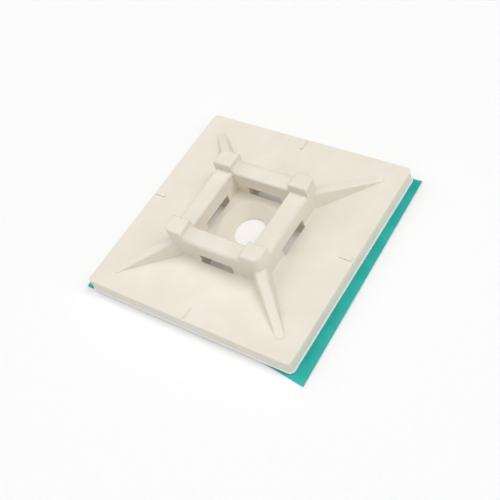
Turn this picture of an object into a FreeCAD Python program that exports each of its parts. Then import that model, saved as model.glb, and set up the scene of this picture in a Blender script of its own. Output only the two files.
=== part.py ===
import FreeCAD, Part
import math
import os

# Four-way adhesive mount for cable ties: a moulded square base that carries a tie frame,
# a foam tape pad under the base and a release film under the pad.
# Millimetres, +Z up. The origin is under the middle of the base, on the underside of the
# release film, which is the face that lies on the ground. +X is the right-hand side of the
# base and +Y is its back edge.

# Layers under the base
FILM_THICK = 0.12             # release film
TAPE_THICK = 0.45             # double-sided foam tape

# Base plate
BASE_SIDE = 28.0              # side of the square plate
BASE_THICK = 1.55             # from the tape to the plate's top face
BASE_CORNER = 0.55            # radius of the plate's corners, seen from above
SOFT_EDGE = 0.16              # rounding along the plate's top edges

# Release film, which is cut a little larger than the tape and out of square
FILM_OVER_LEFT = 1.05         # past the plate on the left
FILM_OVER_BACK_RIGHT = 1.0    # past the plate on the right, at the back corner
FILM_OVER_FRONT_RIGHT = 1.62  # past the plate on the right, at the front corner
FILM_OVER_BACK = 0.08         # past the back edge
FILM_SHORT_FRONT = 0.1        # short of the front edge, along its left part
FILM_SWING = 0.66             # past the front edge, at the right corner
FILM_SWING_LONG = 4.6         # from the plate's right side to where the front edge swings out

# Tie frame: four walls around a square well, with a post on each corner
FRAME_SIDE = 12.8             # outside of the frame
SIDE_WALL = 2.4               # left and right walls, and the posts along X
END_WALL = 2.25               # front and back walls, and the posts along Y
WALL_HIGH = 3.0               # top of the walls above the plate
WALL_EDGE_ROUND = 0.55        # rounding of a wall's outer top edge
WALL_INNER_ROUND = 0.32       # rounding of its inner top edge
WALL_FOOT_ROUND = 0.25        # hollow round where the walls stand on the plate
POST_RISE = 1.11              # top of the posts above the walls
POST_TOP_ROUND = 0.3          # rounding round a post's top
POST_CORNER_ROUND = 0.8       # the post's upright edge on the frame's outer corner
RAMP_BELOW_POST = 0.31        # from a post's top down to the level that its ramp's curve aims for
SIDE_RAMP_SHARE = 0.4         # size of the side walls' ramps, as a share of the end walls'
RAMP_TURN = 84.0              # degrees that a ramp's curve has turned through at its end
RAMP_INTO_POST = 0.08         # how far that end reaches into the post

# Tie slots, one low in the middle of each wall. Under each slot a window goes down through the
# plate to the tape. It is as long as the slot, and starts at the wall's inner face.
SLOT_WIDE = 4.5               # along the wall
SLOT_HIGH = 1.1               # up from the plate's top face
WINDOW_PAST_WALL = 0.12       # how far the window reaches past the wall's outer face

# Screw hole with a countersink, in the floor of the well
HOLE_DIAMETER = 4.0
HOLE_LAND = 0.2               # length of the straight hole, under the cone
SINK_DIAMETER = 6.7           # the cone's mouth, in the plate's top face
SINK_EDGE_ROUND = 0.2         # rounding of the cone's rim

# Ribs from the posts out to the plate's corners
RIB_WIDE = 1.5                # across the rib at the post
RIB_TIP_WIDE = 1.0            # across its far end
RIB_HIGH = 1.95               # above the plate, where the rib leaves the post
RIB_TIP_HIGH = 0.09           # above the plate, at the far end
RIB_TIP_INSET = 2.75          # from the plate's sides to the middle of the rib's round end
RIB_DRAFT = 11.0              # degrees that the rib's sides lean
RIB_EDGE_SHARE = 0.8          # radius of its top edges, as a share of its half width or height

# Centring marks, one in the middle of each side of the plate
MARK_LONG = 1.4
MARK_WIDE = 0.36
MARK_HIGH = 0.16
MARK_INSET = 0.3              # from the plate's edge to the mark

# Sizes worked out from the ones above
TAPE_Z = FILM_THICK
BASE_Z = TAPE_Z + TAPE_THICK
TOP_Z = BASE_Z + BASE_THICK
BASE_HALF = BASE_SIDE / 2
FRAME_HALF = FRAME_SIDE / 2
WELL_HALF_X = FRAME_HALF - SIDE_WALL
WELL_HALF_Y = FRAME_HALF - END_WALL
POST_HIGH = WALL_HIGH + POST_RISE
END_RAMP = POST_RISE - RAMP_BELOW_POST
SIDE_RAMP = END_RAMP * SIDE_RAMP_SHARE
WALL_ROUND = min(WALL_EDGE_ROUND, END_RAMP - RAMP_INTO_POST)
INNER_ROUND = min(WALL_INNER_ROUND, WALL_ROUND)
ROOT = BASE_THICK / 2         # how deep the raised features reach into the plate
DIAGONAL = math.sqrt(2)
CLOSE = 0.001                 # two levels nearer than this are the same

UP = FreeCAD.Vector(0, 0, 1)
ORIGIN = FreeCAD.Vector(0, 0, 0)


def edges_where(shape, test):
    """The edges of a shape whose bounding box passes the test."""
    return [edge for edge in shape.Edges if test(edge.BoundBox)]


def rounded_block(low_z, high_z):
    """A slab of the plate's square outline between two levels, with round corners."""
    low = FreeCAD.Vector(-BASE_HALF, -BASE_HALF, low_z)
    slab = Part.makeBox(BASE_SIDE, BASE_SIDE, high_z - low_z, low)
    upright = edges_where(slab, lambda box: box.XLength + box.YLength < BASE_CORNER)
    return slab.makeFillet(BASE_CORNER, upright)


def on_plate(box):
    """Whether an edge with this bounding box lies in the plate's top face."""
    return abs(box.Center.z - TOP_Z) < CLOSE and box.ZLength < CLOSE


def screw_hole():
    """The straight hole and the cone above it, as one cutter."""
    radius = HOLE_DIAMETER / 2
    straight = Part.makeCylinder(radius, BASE_THICK, FreeCAD.Vector(0, 0, BASE_Z), UP)
    cone_foot = FreeCAD.Vector(0, 0, BASE_Z + HOLE_LAND)
    cone = Part.makeCone(radius, SINK_DIAMETER / 2, BASE_THICK - HOLE_LAND, cone_foot, UP)
    return straight.fuse(cone)


def base_plate():
    """The square plate, with a soft edge round its top and the screw hole in its middle."""
    plate = rounded_block(BASE_Z, TOP_Z)
    plate = plate.makeFillet(SOFT_EDGE, edges_where(plate, on_plate))
    plate = plate.cut(screw_hole())

    def on_sink_rim(box):
        return on_plate(box) and abs(box.XLength - SINK_DIAMETER) < CLOSE

    return plate.makeFillet(SINK_EDGE_ROUND, edges_where(plate, on_sink_rim))


def wall_profile(half_long, inner_face, ramp_radius):
    """The outline of a wall at the back of the frame, seen from the front and set on its inner
    face. The top is level in the middle and curves up into the posts at both ends."""
    level = TOP_Z + WALL_HIGH
    end = half_long + RAMP_INTO_POST
    turn = math.radians(RAMP_TURN)
    start = end - ramp_radius * math.sin(turn)

    def on_curve(angle, side):
        across = start + ramp_radius * math.sin(angle)
        high = level + ramp_radius * (1 - math.cos(angle))
        return FreeCAD.Vector(side * across, inner_face, high)

    def ramp(side):
        return Part.Arc(on_curve(0, side), on_curve(turn / 2, side), on_curve(turn, side)).toShape()

    right_foot = FreeCAD.Vector(end, inner_face, TOP_Z - ROOT)
    left_foot = FreeCAD.Vector(-end, inner_face, TOP_Z - ROOT)
    return Part.Wire([
        Part.makeLine(left_foot, right_foot),
        Part.makeLine(right_foot, on_curve(turn, 1)),
        ramp(1),
        Part.makeLine(on_curve(0, 1), on_curve(0, -1)),
        ramp(-1),
        Part.makeLine(on_curve(turn, -1), left_foot),
    ])


def wall(half_long, inner_face, thick, ramp_radius):
    """A wall at the back of the frame. The rounding of its two long top edges follows the
    ramps."""
    outline = Part.Face(wall_profile(half_long, inner_face, ramp_radius))
    block = outline.extrude(FreeCAD.Vector(0, thick, 0))
    middle = inner_face + thick / 2

    def along_top(box):
        return box.ZMin > TOP_Z and box.YLength < CLOSE and box.XLength > box.ZLength / 2

    outer = edges_where(block, lambda box: along_top(box) and box.YMin > middle)
    block = block.makeFillet(WALL_ROUND, outer)
    inner = edges_where(block, lambda box: along_top(box) and box.YMax < middle)
    return block.makeFillet(INNER_ROUND, inner)


def end_wall():
    """The back wall, with a tall ramp up to each post."""
    return wall(WELL_HALF_X, WELL_HALF_Y, END_WALL, END_RAMP)


def side_wall():
    """The right-hand wall, with a small ramp up to each post."""
    return turned(wall(WELL_HALF_Y, WELL_HALF_X, SIDE_WALL, SIDE_RAMP), 3)


def post():
    """The corner post at +X +Y. Its outer upright edge and its top are rounded."""
    low = FreeCAD.Vector(WELL_HALF_X, WELL_HALF_Y, TOP_Z - ROOT)
    block = Part.makeBox(SIDE_WALL, END_WALL, POST_HIGH + ROOT, low)
    middle_x = WELL_HALF_X + SIDE_WALL / 2
    middle_y = WELL_HALF_Y + END_WALL / 2
    outer = edges_where(block, lambda box: box.XMin > middle_x and box.YMin > middle_y)
    block = block.makeFillet(POST_CORNER_ROUND, outer)
    top = edges_where(block, lambda box: box.ZMin > TOP_Z + WALL_HIGH)
    return block.makeFillet(POST_TOP_ROUND, top)


def rib_section(along, high, wide):
    """The rib's outline across its length, at a distance along the plate's diagonal and up
    to a height above the plate. The sides lean, and the top edges are quarter circles."""
    half = wide / 2
    foot = half + (high + ROOT) * math.tan(math.radians(RIB_DRAFT))
    radius = RIB_EDGE_SHARE * min(half, high)
    centre = half - radius
    part_way = radius / DIAGONAL

    def at(across, up):
        x = (along - across) / DIAGONAL
        y = (along + across) / DIAGONAL
        return FreeCAD.Vector(x, y, TOP_Z + up)

    def top_edge(side):
        side_end = at(side * half, high - radius)
        through = at(side * (centre + part_way), high - radius + part_way)
        return [side_end, through, at(side * centre, high)]

    right = top_edge(1)
    left = top_edge(-1)
    return Part.Wire([
        Part.makeLine(at(foot, -ROOT), right[0]),
        Part.Arc(*right).toShape(),
        Part.makeLine(right[2], left[2]),
        Part.Arc(*left).toShape(),
        Part.makeLine(left[0], at(-foot, -ROOT)),
        Part.makeLine(at(-foot, -ROOT), at(foot, -ROOT)),
    ])


def rib():
    """The rib from the post at +X +Y out to the plate's corner. Its top falls in a straight
    line, it narrows on the way, and its far end is round."""
    corner = FRAME_HALF * DIAGONAL
    tip = (BASE_HALF - RIB_TIP_INSET) * DIAGONAL
    start = corner - RIB_WIDE
    fall = (RIB_HIGH - RIB_TIP_HIGH) / (tip - corner)
    start_section = rib_section(start, RIB_HIGH + fall * (corner - start), RIB_WIDE)
    tip_section = rib_section(tip, RIB_TIP_HIGH, RIB_TIP_WIDE)
    body = Part.makeLoft([start_section, tip_section], True, True)
    foot = RIB_TIP_WIDE / 2 + (RIB_TIP_HIGH + ROOT) * math.tan(math.radians(RIB_DRAFT))
    tip_foot = FreeCAD.Vector(tip / DIAGONAL, tip / DIAGONAL, TOP_Z - ROOT)
    round_end = Part.makeCone(foot, RIB_TIP_WIDE / 2, ROOT + RIB_TIP_HIGH, tip_foot, UP)
    return body.fuse(round_end)


def centring_mark():
    """The raised line in the middle of the right-hand side."""
    low = FreeCAD.Vector(BASE_HALF - MARK_INSET - MARK_LONG, -MARK_WIDE / 2, TOP_Z - ROOT)
    return Part.makeBox(MARK_LONG, MARK_WIDE, ROOT + MARK_HIGH, low)


def turned(shape, quarters):
    """A copy of a shape, turned about the middle of the plate by so many quarter turns."""
    copy = shape.copy()
    copy.rotate(ORIGIN, UP, 90 * quarters)
    return copy


def on_every_corner(shape):
    """A shape at +X +Y and its mirror images on the other three corners."""
    left = shape.mirror(ORIGIN, FreeCAD.Vector(1, 0, 0))
    front = FreeCAD.Vector(0, 1, 0)
    return [shape, left, shape.mirror(ORIGIN, front), left.mirror(ORIGIN, front)]


def tie_slot():
    """The cutter for the slots of the left and right walls, in one piece across the well."""
    long = FRAME_SIDE + SLOT_WIDE
    return Part.makeBox(long, SLOT_WIDE, SLOT_HIGH, FreeCAD.Vector(-long / 2, -SLOT_WIDE / 2, TOP_Z))


def window(inner_face):
    """The cutter for the window under the right-hand slot. The inner face is given as its
    distance from the middle of the well."""
    across = FRAME_HALF + WINDOW_PAST_WALL - inner_face
    low = FreeCAD.Vector(inner_face, -SLOT_WIDE / 2, BASE_Z)
    return Part.makeBox(across, SLOT_WIDE, BASE_THICK + SLOT_HIGH, low)


def on_wall_foot(box):
    """Whether an edge with this bounding box is a line along which a wall meets the plate."""
    on_side_wall = abs(abs(box.Center.x) - FRAME_HALF) < CLOSE and box.XLength < CLOSE
    on_end_wall = abs(abs(box.Center.y) - FRAME_HALF) < CLOSE and box.YLength < CLOSE
    return on_plate(box) and (on_side_wall or on_end_wall)


def mount_base():
    """The whole moulding: plate, frame, ribs and marks, and then the slots and windows."""
    raised = [turned(end_wall(), quarters) for quarters in (0, 2)]
    raised += [turned(side_wall(), quarters) for quarters in (0, 2)]
    raised += [turned(centring_mark(), quarters) for quarters in range(4)]
    raised += on_every_corner(post()) + on_every_corner(rib())
    openings = [tie_slot(), turned(tie_slot(), 1)]
    openings += [turned(window(WELL_HALF_X), quarters) for quarters in (0, 2)]
    openings += [turned(window(WELL_HALF_Y), quarters) for quarters in (1, 3)]
    solid = base_plate().fuse(raised).removeSplitter()
    solid = solid.makeFillet(WALL_FOOT_ROUND, edges_where(solid, on_wall_foot))
    return solid.cut(openings).removeSplitter()


def foam_tape():
    """The tape pad, cut to the plate's outline. It closes the screw hole from below."""
    return rounded_block(TAPE_Z, BASE_Z)


def release_film():
    """The film that covers the tape until it is stuck down."""
    left = -BASE_HALF - FILM_OVER_LEFT
    front = -BASE_HALF + FILM_SHORT_FRONT
    back = BASE_HALF + FILM_OVER_BACK
    corners = [
        FreeCAD.Vector(left, front, 0),
        FreeCAD.Vector(BASE_HALF - FILM_SWING_LONG, front, 0),
        FreeCAD.Vector(BASE_HALF + FILM_OVER_FRONT_RIGHT, -BASE_HALF - FILM_SWING, 0),
        FreeCAD.Vector(BASE_HALF + FILM_OVER_BACK_RIGHT, back, 0),
        FreeCAD.Vector(left, back, 0),
    ]
    outline = Part.Face(Part.makePolygon(corners + corners[:1]))
    return outline.extrude(FreeCAD.Vector(0, 0, FILM_THICK))


os.makedirs("parts", exist_ok=True)
nodes = {"mount_base": mount_base(), "foam_tape": foam_tape(), "release_film": release_film()}
for name, shape in nodes.items():
    print(name, "solids", len(shape.Solids), "valid", shape.isValid(), "mm3", round(shape.Volume, 2))
    shape.Solids[0].exportStep(f"parts/{name}.step")
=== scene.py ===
# %% [markdown]
# A stick-on mount for cable ties, before its film is pulled off: a cream nylon moulding, a white
# foam tape under it and a teal release film under the tape. The moulding is a precise, hard
# piece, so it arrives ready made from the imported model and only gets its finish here. The tape
# and the film are soft, and a plain slab would look like neither, so both are built again in
# this script over the solids that hold their place.

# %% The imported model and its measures
import math
import bmesh
import bpy
from mathutils import Matrix, Vector, noise


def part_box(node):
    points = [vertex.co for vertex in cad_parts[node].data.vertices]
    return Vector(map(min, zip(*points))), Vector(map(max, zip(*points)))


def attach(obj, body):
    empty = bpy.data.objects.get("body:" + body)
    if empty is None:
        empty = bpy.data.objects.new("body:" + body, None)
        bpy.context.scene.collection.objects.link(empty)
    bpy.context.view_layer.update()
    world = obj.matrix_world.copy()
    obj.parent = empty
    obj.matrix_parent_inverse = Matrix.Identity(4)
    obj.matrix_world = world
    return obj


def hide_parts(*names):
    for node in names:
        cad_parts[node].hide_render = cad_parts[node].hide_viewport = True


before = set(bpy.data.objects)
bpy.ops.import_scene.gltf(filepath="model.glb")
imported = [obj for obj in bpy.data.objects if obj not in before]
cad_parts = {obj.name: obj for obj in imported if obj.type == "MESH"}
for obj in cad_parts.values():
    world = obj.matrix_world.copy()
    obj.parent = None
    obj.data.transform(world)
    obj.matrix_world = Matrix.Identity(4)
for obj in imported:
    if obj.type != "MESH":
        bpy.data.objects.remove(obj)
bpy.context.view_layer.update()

MM = 0.001
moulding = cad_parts["mount_base"]
tape_low, tape_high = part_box("foam_tape")
film_low, film_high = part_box("release_film")
print("tape, mm:", [round(side / MM, 2) for side in tape_high - tape_low])
print("film, mm:", [round(side / MM, 2) for side in film_high - film_low])

# %% [markdown]
# Every finish below is mixed from the same few steps, and wiring the nodes by hand each time
# would bury what differs between the finishes. So each step is a small helper. The first two
# give a position in millimetres and a noise of some grain size over it. The position is the
# object's own, so the pattern stays put when the camera moves.

# %% Helpers: a material to start from, and a noise
def start_material(name):
    """A new material, with its node tree, its surface shader and a position in millimetres."""
    material = bpy.data.materials.new(name)
    material.use_nodes = True
    tree = material.node_tree
    place = tree.nodes.new("ShaderNodeTexCoord")
    in_mm = tree.nodes.new("ShaderNodeVectorMath")
    in_mm.operation = "SCALE"
    in_mm.inputs["Scale"].default_value = 1 / MM
    tree.links.new(place.outputs["Object"], in_mm.inputs[0])
    return material, tree, tree.nodes["Principled BSDF"], in_mm.outputs[0]


def grain(tree, position, size_mm, detail=2.0, rough=0.5):
    """A noise whose grains are about size_mm across, from 0 to 1."""
    step = tree.nodes.new("ShaderNodeTexNoise")
    step.inputs["Scale"].default_value = 1 / size_mm
    step.inputs["Detail"].default_value = detail
    step.inputs["Roughness"].default_value = rough
    tree.links.new(position, step.inputs["Vector"])
    return step.outputs["Fac"]


print("helpers for position and noise ready")

# %% [markdown]
# A noise says only more or less. A ramp turns it into a colour, a mapped range turns it into a
# number such as a roughness, and a bump turns it into small heights that bend the light. The
# noise keeps near its middle, so the range is mapped from there and not from 0 to 1. Light also
# enters each of these plastics a little way, and one more helper says how far.

# %% Helpers: colour, number, bump and depth of light
def tones(tree, amount, *stops):
    """A colour that follows amount through stops of (place, colour)."""
    ramp = tree.nodes.new("ShaderNodeValToRGB")
    points = ramp.color_ramp.elements
    while len(points) < len(stops):
        points.new(0.5)
    for point, (place, colour) in zip(points, stops):
        point.position = place
        point.color = (*colour, 1)
    tree.links.new(amount, ramp.inputs["Fac"])
    return ramp.outputs["Color"]


def spread(tree, amount, low, high, from_low=0.3, from_high=0.7):
    """A number that runs from low to high while amount runs over the middle of its range."""
    step = tree.nodes.new("ShaderNodeMapRange")
    step.inputs["From Min"].default_value = from_low
    step.inputs["From Max"].default_value = from_high
    step.inputs["To Min"].default_value = low
    step.inputs["To Max"].default_value = high
    tree.links.new(amount, step.inputs["Value"])
    return step.outputs["Result"]


def bumps(tree, shader, *layers):
    """Bump layers of (height, depth in mm), one over the other, into the shader's normal."""
    normal = None
    for height, depth_mm in layers:
        step = tree.nodes.new("ShaderNodeBump")
        step.inputs["Distance"].default_value = depth_mm * MM
        tree.links.new(height, step.inputs["Height"])
        if normal is not None:
            tree.links.new(normal, step.inputs["Normal"])
        normal = step.outputs["Normal"]
    tree.links.new(normal, shader.inputs["Normal"])


def let_light_in(shader, weight, reach, reach_mm):
    """How much light enters the surface, and how far it reaches in red, green and blue."""
    shader.inputs["Subsurface Weight"].default_value = weight
    shader.inputs["Subsurface Radius"].default_value = reach
    shader.inputs["Subsurface Scale"].default_value = reach_mm * MM


print("helpers for colour, number, bump and depth of light ready")

# %% [markdown]
# The moulding is natural nylon: a warm cream that light enters a little way, so its thin edges
# glow and its corners never go black. The tool's face was spark eroded, which leaves a fine
# even frost, and the melt leaves slow clouds of tone and a trace of waviness. A flat cream would
# look like painted card, so each of these is one layer: clouds in the colour, frost and waviness
# in the bump, and a roughness that follows the frost.

# %% Cream nylon for the moulding
CREAM = (0.80, 0.741, 0.650)
CREAM_PALE = (0.822, 0.766, 0.680)
CREAM_WARM = (0.785, 0.723, 0.629)
CREAM_GLOW = (1.0, 0.88, 0.7)
SATIN = (0.5, 0.66)
CLOUD_MM = 3.5
WAVE_MM = 1.6
WAVE_DEPTH_MM = 0.02
FROST_MM = 0.11
FROST_DEPTH_MM = 0.009


def cream_nylon():
    """The moulding's finish: clouded cream with a frosted, faintly wavy face."""
    material, tree, shader, position = start_material("cream_nylon")
    clouds = grain(tree, position, CLOUD_MM, detail=3)
    frost = grain(tree, position, FROST_MM, detail=4, rough=0.6)
    waves = grain(tree, position, WAVE_MM, detail=1)
    colour = tones(tree, clouds, (0.3, CREAM_WARM), (0.5, CREAM), (0.72, CREAM_PALE))
    tree.links.new(colour, shader.inputs["Base Color"])
    tree.links.new(spread(tree, frost, *SATIN), shader.inputs["Roughness"])
    let_light_in(shader, weight=0.14, reach=CREAM_GLOW, reach_mm=0.4)
    shader.inputs["Specular IOR Level"].default_value = 0.42
    bumps(tree, shader, (waves, WAVE_DEPTH_MM), (frost, FROST_DEPTH_MM))
    return material


nylon = cream_nylon()
moulding.data.materials.clear()
moulding.data.materials.append(nylon)
print("moulding faces:", len(moulding.data.polygons), "in", nylon.name)

# %% [markdown]
# The foam tape is punched out, so its edge is a cut through closed-cell foam between two thin
# coats of clear adhesive. From a step away that edge is the white line under the moulding, and
# from close up it is a row of opened cells. A bevelled box would have the outline, but too few
# points to carry cells. So the outline is worked out as points less than a tenth of a millimetre
# apart, each with the direction that faces outward, and the next steps move them along it.

# %% Outline of the punched tape
CORNER_RADIUS = 0.55 * MM
EDGE_STEP = 0.07 * MM
QUARTER_TURN = math.pi / 2


def rounded_square(low, high, radius, step):
    """Points round a square with round corners, each with the direction that faces outward."""
    points = []
    inner_low = Vector((low.x + radius, low.y + radius))
    inner_high = Vector((high.x - radius, high.y - radius))
    centres = [(inner_high.x, inner_low.y), (inner_high.x, inner_high.y),
               (inner_low.x, inner_high.y), (inner_low.x, inner_low.y)]
    arc_steps = math.ceil(radius * QUARTER_TURN / step)
    straight = inner_high.x - inner_low.x
    straight_steps = math.ceil(straight / step)
    for side, centre in enumerate(centres):
        start = -QUARTER_TURN + side * QUARTER_TURN
        for i in range(arc_steps):
            angle = start + i / arc_steps * QUARTER_TURN
            out = Vector((math.cos(angle), math.sin(angle)))
            points.append((Vector(centre) + radius * out, out))
        out = Vector((math.cos(start + QUARTER_TURN), math.sin(start + QUARTER_TURN)))
        along = Vector((-out.y, out.x))
        corner = Vector(centre) + radius * out
        for i in range(straight_steps):
            points.append((corner + along * straight * i / straight_steps, out))
    return points


outline = rounded_square(tape_low, tape_high, CORNER_RADIUS, EDGE_STEP)
print("points round the tape:", len(outline))

# %% [markdown]
# The moulding was pressed down on the foam, so the cut edge swells out between the two coats of
# adhesive. The upper half of that small bead faces the light, and shows as the bright white line
# round the mount. A slow noise adds the wander of the punch, and a fine one opens cells in the
# foam between the coats, wherever it passes the level of the cell walls. What passes is small, so
# a gain brings all but its rarest peaks up to between 0 and 1. A displacement in the material
# would be lost from the exported mesh, so all three are worked out here, as one distance from
# the outline at each point of the wall.

# %% The cut edge, as a distance from the outline
COAT = 0.05 * MM
SWELL = 0.12 * MM
PUNCH_WANDER = 0.018 * MM
WANDER_LENGTH = 1.5 * MM
CELL_SIZE = 0.16 * MM
CELL_DEPTH = 0.035 * MM
CELL_WALL = 0.12
CELL_GAIN = 2


def gentle_wave(point, length):
    """A slow noise from 0 to 1, whose waves are about as long as length."""
    return noise.noise(point / length) * 0.5 + 0.5


def cut_depth(point, height, total):
    """How far the cut edge lies inside the outline, at a point of the wall."""
    wander = PUNCH_WANDER * gentle_wave(point, WANDER_LENGTH)
    share = height / total
    bead = SWELL * 4 * share * (1 - share)
    opened = max(noise.noise(point / CELL_SIZE) - CELL_WALL, 0)
    between_coats = min(height, total - height) > COAT
    return wander - bead + (CELL_DEPTH * opened * CELL_GAIN if between_coats else 0)


bead_high = (tape_high.z - tape_low.z) / 2
middle_of_wall = Vector((tape_high.x, 0, tape_low.z + bead_high))
print("bead half way up, mm:", round(-cut_depth(middle_of_wall, bead_high, 2 * bead_high) / MM, 3))

# %% [markdown]
# The wall is a stack of rings of points, joined by strips of quads. The top and the bottom stay
# level, because the moulding sits on one and the film lies under the other. Each is closed by a
# narrow rim and one large face inside it. Without the rim, that face would be cut into long thin
# triangles right at the edge that shows.

# %% The tape itself
WALL_LEVELS = 9
RIM_INSET = 0.35 * MM


def finished_piece(name, body):
    """The mesh in body, as an object in the scene."""
    mesh = bpy.data.meshes.new(name)
    body.to_mesh(mesh)
    body.free()
    piece = bpy.data.objects.new(name, mesh)
    bpy.context.scene.collection.objects.link(piece)
    return piece


def strip_round(body, lower, upper):
    """Quads that join one ring of points to the next."""
    for i in range(len(lower)):
        j = (i + 1) % len(lower)
        body.faces.new((lower[i], lower[j], upper[j], upper[i]))


def close_ring(body, ring, upward):
    """A rim inside a ring of points and one face inside the rim, facing up or down."""
    rim = [body.verts.new(v.co - RIM_INSET * out.to_3d()) for v, (_, out) in zip(ring, outline)]
    if upward:
        strip_round(body, ring, rim)
        body.faces.new(rim)
    else:
        strip_round(body, rim, ring)
        body.faces.new(rim[::-1])


def foam_tape_piece():
    """The tape as one closed mesh, with its cut edge."""
    total = tape_high.z - tape_low.z
    body = bmesh.new()
    rings = []
    for level in range(WALL_LEVELS):
        height = total * level / (WALL_LEVELS - 1)
        ring = []
        for place, out in outline:
            point = Vector((place.x, place.y, tape_low.z + height))
            inward = cut_depth(point, height, total)
            ring.append(body.verts.new(point - inward * out.to_3d()))
        rings.append(ring)
    for lower, upper in zip(rings, rings[1:]):
        strip_round(body, lower, upper)
    close_ring(body, rings[0], upward=False)
    close_ring(body, rings[-1], upward=True)
    return finished_piece("foam_tape_cut", body)


tape = foam_tape_piece()
print("tape faces:", len(tape.data.polygons))

# %% [markdown]
# The tape shows two kinds of face: opened cells round its edge, and smooth adhesive above and
# below. Two materials would meet in a hard line. One material with a band over the tape's height
# does both, and fades from one to the other as the thin edge of a coat does.

# %% Helper: a band between two heights
def times(tree, one, other):
    """The product of two numbers."""
    step = tree.nodes.new("ShaderNodeMath")
    step.operation = "MULTIPLY"
    tree.links.new(one, step.inputs[0])
    tree.links.new(other, step.inputs[1])
    return step.outputs["Value"]


def height_band(tree, position, low_mm, high_mm, fade_mm):
    """A number that is 1 between two heights and fades to 0 above and below them."""
    parts = tree.nodes.new("ShaderNodeSeparateXYZ")
    tree.links.new(position, parts.inputs[0])
    rise = spread(tree, parts.outputs["Z"], 0, 1, low_mm - fade_mm, low_mm)
    fall = spread(tree, parts.outputs["Z"], 1, 0, high_mm, high_mm + fade_mm)
    return times(tree, rise, fall)


print("helper for a band ready")

# %% [markdown]
# The foam scatters light like fine snow, so it is nearly pure white. The coats of adhesive are
# clear and a little glossy, and the upper one is what shows at the bottom of the screw hole. The
# opened cells on the cut edge get a darker colour, which is painted shade in their hollows. The
# band says where the cut cells are, and fades that painted shade and their bump out towards the coats.

# %% White foam and its adhesive
FOAM_WHITE = (0.97, 0.955, 0.93)
FOAM_CELL_PAINTED_SHADE = (0.95, 0.935, 0.91)
FOAM_GLOW = (1.0, 0.95, 0.9)
TACKY = (0.36, 0.5)
BAND_FADE_MM = 0.02
CELL_SHADE_MM = 0.12
SKIN_MM = 0.9
FOAM_BUMP_MM = 0.012


def foam_finish():
    """The tape's finish: white foam with painted shade in its opened cells, between two coats of
    adhesive.
    """
    material, tree, shader, position = start_material("white_foam")
    low_core = (tape_low.z + COAT) / MM
    high_core = (tape_high.z - COAT) / MM
    cut_face = height_band(tree, position, low_core, high_core, BAND_FADE_MM)
    cells = grain(tree, position, CELL_SHADE_MM, detail=3, rough=0.65)
    skin = grain(tree, position, SKIN_MM, detail=2)
    cell_walls = spread(tree, cells, 1, 0, from_low=0.34, from_high=0.6)
    shade = times(tree, cell_walls, cut_face)
    # The opened cells are coloured darker here: painted shade in the hollows of the cells.
    colour = tones(tree, shade, (0, FOAM_WHITE), (1, FOAM_CELL_PAINTED_SHADE))
    tree.links.new(colour, shader.inputs["Base Color"])
    tree.links.new(spread(tree, skin, *TACKY), shader.inputs["Roughness"])
    let_light_in(shader, weight=0.25, reach=FOAM_GLOW, reach_mm=0.5)
    bumps(tree, shader, (skin, FOAM_BUMP_MM), (shade, FOAM_BUMP_MM))
    return material


tape.data.materials.append(foam_finish())
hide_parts("foam_tape")
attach(tape, "root")
print("tape in", tape.data.materials[0].name)

# %% [markdown]
# The release film is a stiff, slippery sheet about a tenth of a millimetre thick, cut a little
# out of square. Its corners could be typed in here, but then the sheet and the solid that holds
# its place could drift apart. They are read from the solid's own mesh instead, where each corner
# comes twice, once on each face. Rounding brings the two together.

# %% Outline of the film, read from its solid
SAME_PLACE_DIGITS = 7


def flat_place(corner):
    """A mesh corner's x and y, rounded to a tenth of a micrometre."""
    return round(corner.co.x, SAME_PLACE_DIGITS), round(corner.co.y, SAME_PLACE_DIGITS)


def film_corners():
    """The film's corners, seen from above, in order round the middle of the mount."""
    places = {flat_place(corner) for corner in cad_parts["release_film"].data.vertices}
    return sorted(places, key=lambda place: math.atan2(place[1], place[0]))


corners = film_corners()
print("film corners, mm:", [(round(x / MM, 2), round(y / MM, 2)) for x, y in corners])

# %% [markdown]
# The five corners, counted round from the front left one, give four edges and one bend, where
# the front edge swings out towards the right corner. The real edge was cut in one slow stroke,
# so the bend is eased over a few millimetres.
# The edges are functions of a place along them, and a grid will be stretched between them. Its
# columns are fine over the margins, where the film moves, and coarse under the tape.

# %% The film's edges as functions
_, bend, front_right, back_right, back_left = corners
EASE = 2.5 * MM
FINE_COLUMN = 0.12 * MM
COARSE_COLUMN = 1.0 * MM
ROW_STEPS = 160


def between(a, b, share):
    """The value that lies a share of the way from a to b."""
    return a + (b - a) * share


def front_edge(x):
    """The front edge's y at x: straight, then swinging out past the bend."""
    slope = (front_right[1] - bend[1]) / (front_right[0] - bend[0])
    past = x - bend[0]
    if past < -EASE:
        return bend[1]
    if past > EASE:
        return bend[1] + slope * past
    return bend[1] + slope * (past + EASE) ** 2 / (4 * EASE)


def edge_marks(low, high, tape_edge_low, tape_edge_high, fine, coarse):
    """Grid lines from low to high: fine ones over both margins and coarse ones between."""
    marks = []
    x = low
    while x < high - fine / 2:
        marks.append(x)
        under_tape = tape_edge_low + fine < x < tape_edge_high - coarse - fine
        x += coarse if under_tape else fine
    return marks + [high]


columns = edge_marks(back_left[0], front_right[0], tape_low.x, tape_high.x, FINE_COLUMN, COARSE_COLUMN)
rows = [i / ROW_STEPS for i in range(ROW_STEPS + 1)]
print("film grid:", len(columns), "x", len(rows))

# %% [markdown]
# Under the tape the film lies dead flat. Past the tape it is free, and handling has left a faint
# ripple along its margins. A cloth simulation could make that, but a sheet that is held nearly
# all over doesn't sag. A slow noise gives the same ripple each time, and it grows over the first
# millimetre past the tape, so the film neither leaves the tape nor cuts into it. A second layer
# of points one thickness lower and a strip along each edge close the sheet.

# %% The film itself
RIPPLE = 0.1 * MM
RIPPLE_LENGTH = 6.0 * MM
RIPPLE_START = 1.0 * MM


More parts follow.
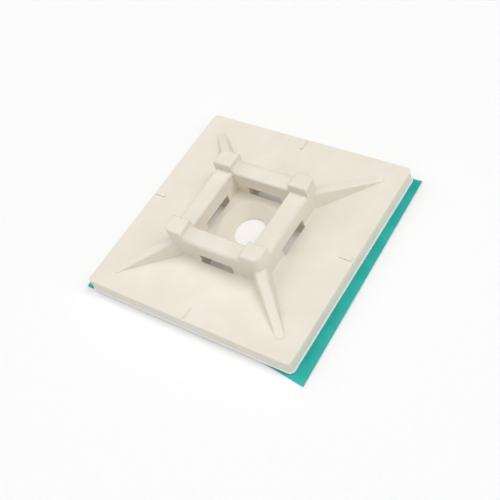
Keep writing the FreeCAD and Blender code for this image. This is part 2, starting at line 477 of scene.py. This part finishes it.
def film_point(column, row):
    """A point of the film's upper face."""
    share = (column - back_left[0]) / (front_right[0] - back_left[0])
    right = between(front_right[0], back_right[0], row)
    x = between(back_left[0], right, share)
    y = between(front_edge(x), back_left[1], row)
    free = max(x - tape_high.x, tape_low.x - x, y - tape_high.y, tape_low.y - y, 0)
    wave = gentle_wave(Vector((x, y, 0)), RIPPLE_LENGTH)
    lift = RIPPLE * wave * min(free / RIPPLE_START, 1) ** 2
    return Vector((x, y, film_high.z + lift))


def release_film_piece():
    """The film as one closed mesh of two layers and four edges."""
    thick = film_high.z - film_low.z
    body = bmesh.new()
    upper = [[body.verts.new(film_point(column, row)) for column in columns] for row in rows]
    lower = [[body.verts.new(v.co - Vector((0, 0, thick))) for v in line] for line in upper]
    for j in range(len(rows) - 1):
        for i in range(len(columns) - 1):
            body.faces.new((upper[j][i], upper[j][i + 1], upper[j + 1][i + 1], upper[j + 1][i]))
            body.faces.new((lower[j][i], lower[j + 1][i], lower[j + 1][i + 1], lower[j][i + 1]))
    for j in range(len(rows) - 1):
        body.faces.new((upper[j][0], upper[j + 1][0], lower[j + 1][0], lower[j][0]))
        body.faces.new((upper[j + 1][-1], upper[j][-1], lower[j][-1], lower[j + 1][-1]))
    for i in range(len(columns) - 1):
        body.faces.new((upper[0][i + 1], upper[0][i], lower[0][i], lower[0][i + 1]))
        body.faces.new((upper[-1][i], upper[-1][i + 1], lower[-1][i + 1], lower[-1][i]))
    return finished_piece("release_film_sheet", body)


film = release_film_piece()
print("film faces:", len(film.data.polygons))

# %% [markdown]
# The film is tinted through, and coated on the tape's side with a slippery silicone layer that
# gives it a soft gloss. Drawing the film leaves faint streaks along one direction. An even noise
# would look like orange peel, so the position is squeezed along that direction first, which
# draws the grains of the noise out into streaks.

# %% Teal film
TEAL = (0.015, 0.41, 0.36)
TEAL_LIGHT = (0.024, 0.465, 0.41)
TEAL_GLOW = (0.3, 1.0, 0.9)
SLIPPERY = (0.3, 0.42)
DRAWN_ALONG_Y = (1.0, 0.12, 1.0)
STREAK_MM = 0.35
STREAK_DEPTH_MM = 0.004
HAZE_MM = 2.2


def squeezed(tree, position, shares):
    """The position with each axis multiplied by its share."""
    step = tree.nodes.new("ShaderNodeVectorMath")
    step.operation = "MULTIPLY"
    step.inputs[1].default_value = shares
    tree.links.new(position, step.inputs[0])
    return step.outputs[0]


def film_finish():
    """The film's finish: hazy teal with a soft gloss and fine streaks."""
    material, tree, shader, position = start_material("teal_film")
    streaks = grain(tree, squeezed(tree, position, DRAWN_ALONG_Y), STREAK_MM, detail=2)
    haze = grain(tree, position, HAZE_MM, detail=2)
    colour = tones(tree, haze, (0.35, TEAL), (0.65, TEAL_LIGHT))
    tree.links.new(colour, shader.inputs["Base Color"])
    tree.links.new(spread(tree, streaks, *SLIPPERY), shader.inputs["Roughness"])
    let_light_in(shader, weight=0.15, reach=TEAL_GLOW, reach_mm=0.3)
    shader.inputs["Specular IOR Level"].default_value = 0.25
    shader.inputs["Coat Weight"].default_value = 0.08
    shader.inputs["Coat Roughness"].default_value = 0.25
    bumps(tree, shader, (streaks, STREAK_DEPTH_MM))
    return material


film.data.materials.append(film_finish())
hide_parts("release_film")
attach(film, "root")
print("film in", film.data.materials[0].name)

# %% [markdown]
# The ground is a plain white sheet, far larger than the view, so that no edge of it shows. It
# lies a hair above the film's underside. From above nobody can tell, and from below the
# underside of the film stays in view instead of being hidden in the sheet.

# %% Floor
FLOOR_HALF = 1.5
FLOOR_HIGH = 0.002 * MM
PAPER = (0.92, 0.92, 0.92)
PAPER_PALE = (0.935, 0.935, 0.935)
FIBRE_MM = 0.4


def white_floor():
    """A white paper floor, which isn't part of the object."""
    mesh = bpy.data.meshes.new("floor")
    quarters = ((-1, -1), (1, -1), (1, 1), (-1, 1))
    corners_at = [(x * FLOOR_HALF, y * FLOOR_HALF, FLOOR_HIGH) for x, y in quarters]
    mesh.from_pydata(corners_at, [], [(0, 1, 2, 3)])
    floor = bpy.data.objects.new("floor", mesh)
    bpy.context.scene.collection.objects.link(floor)
    material, tree, shader, position = start_material("white_paper")
    fibres = grain(tree, position, FIBRE_MM, detail=3)
    tree.links.new(tones(tree, fibres, (0.3, PAPER), (0.7, PAPER_PALE)), shader.inputs["Base Color"])
    shader.inputs["Roughness"].default_value = 0.9
    mesh.materials.append(material)


white_floor()
print("floor side, m:", 2 * FLOOR_HALF)

# %% [markdown]
# The photo is a bright product shot. Its key light is a soft box high on the right and a little
# behind, which throws a soft shadow to the left of the frame and reaches the tape at the bottom
# of the side windows. A weaker one stands beside it, a little in front. Wider soft boxes on the
# left, overhead, low on the right and low in front fill the shadows, and keep the front faces
# only a shade darker than the right-hand ones. Area lamps would fall off over the floor, so each
# soft box is a sun lamp with a wide angle. One more stands under the sheet, and lights only the
# underside, for anyone who turns the view that way.

# %% Lights
def soft_sun(name, comes_from, strength, width_degrees):
    """A wide, soft light from a direction, given as a vector that points at the light."""
    data = bpy.data.lights.new(name, "SUN")
    data.energy = strength
    data.angle = math.radians(width_degrees)
    lamp = bpy.data.objects.new(name, data)
    lamp.rotation_euler = Vector(comes_from).to_track_quat("Z", "Y").to_euler()
    bpy.context.scene.collection.objects.link(lamp)


soft_sun("key_right_and_behind", (0.50, 0.29, 0.82), 1.08, 30)
soft_sun("right_and_in_front", (0.50, -0.29, 0.82), 0.22, 30)
soft_sun("overhead", (0.0, 0.03, 1.0), 0.6, 60)
soft_sun("left", (-0.71, 0.0, 0.71), 1.2, 60)
soft_sun("low_right", (0.91, 0.0, 0.42), 0.54, 40)
soft_sun("low_front", (0.0, -0.91, 0.42), 0.6, 60)
soft_sun("under_the_floor", (0.3, -0.3, -0.9), 2.6, 60)

# %% [markdown]
# The soft boxes stand in a white room. A room bright enough to look white would also fill every
# shadow, so it is two rooms in one: what the camera sees is nearly white, and what lights the
# object is about a tenth of that. The plain view transform keeps the white of the sheet white.

# %% The white room
ROOM_LIGHT = 0.1
ROOM_WHITE = 0.98


def white_room():
    """A white room, which looks fully white behind the floor and lights the object faintly."""
    room = bpy.data.worlds.new("white_room")
    room.use_nodes = True
    nodes = room.node_tree.nodes
    links = room.node_tree.links
    seen = nodes.new("ShaderNodeBackground")
    rays = nodes.new("ShaderNodeLightPath")
    either = nodes.new("ShaderNodeMixShader")
    faint = nodes["Background"]
    for background, strength in ((faint, ROOM_LIGHT), (seen, ROOM_WHITE)):
        background.inputs["Color"].default_value = (1, 1, 1, 1)
        background.inputs["Strength"].default_value = strength
    links.new(rays.outputs["Is Camera Ray"], either.inputs["Fac"])
    links.new(faint.outputs[0], either.inputs[1])
    links.new(seen.outputs[0], either.inputs[2])
    links.new(either.outputs[0], nodes["World Output"].inputs["Surface"])
    bpy.context.scene.world = room


white_room()
bpy.context.scene.view_settings.view_transform = "Standard"
print("room:", bpy.context.scene.world.name)

# %% [markdown]
# The camera stands where the photo's stood: in front and to the right, looking down at about
# fifty degrees, and rolled, because the photo shows the mount tipped to the left. Its place was
# worked out from the base's corners in the photo. It could be aimed by three angles, but a place
# and a point to look at are easier to read and to change, and leave only the roll as an angle.

# %% Camera
CAMERA_PLACE = Vector((52.43, -44.27, 79.62)) * MM
CAMERA_AIM = Vector((0.871, -1.881, 0.0)) * MM
CAMERA_ROLL_DEGREES = -23.155
LENS_MM = 64.68
SENSOR_MM = 36
NEAREST_SEEN = 1 * MM


def photo_camera():
    """The camera at the photo's place, aimed and rolled as the photo's was."""
    data = bpy.data.cameras.new("photo_camera")
    data.sensor_width = SENSOR_MM
    data.lens = LENS_MM
    data.clip_start = NEAREST_SEEN
    camera = bpy.data.objects.new("photo_camera", data)
    level = (CAMERA_AIM - CAMERA_PLACE).to_track_quat("-Z", "Y").to_matrix().to_4x4()
    roll = Matrix.Rotation(math.radians(CAMERA_ROLL_DEGREES), 4, "Z")
    camera.matrix_world = Matrix.Translation(CAMERA_PLACE) @ level @ roll
    bpy.context.scene.collection.objects.link(camera)
    bpy.context.scene.camera = camera


photo_camera()
print("camera distance, mm:", round((CAMERA_PLACE - CAMERA_AIM).length / MM, 1))

# %% [markdown]
# A finish must not change the size of the part. What shows now stands past the box of the solids
# only at the back, where the tape's bead stands a few hundredths of a millimetre past the film.

# %% Bring the scene up to date
bpy.context.view_layer.update()
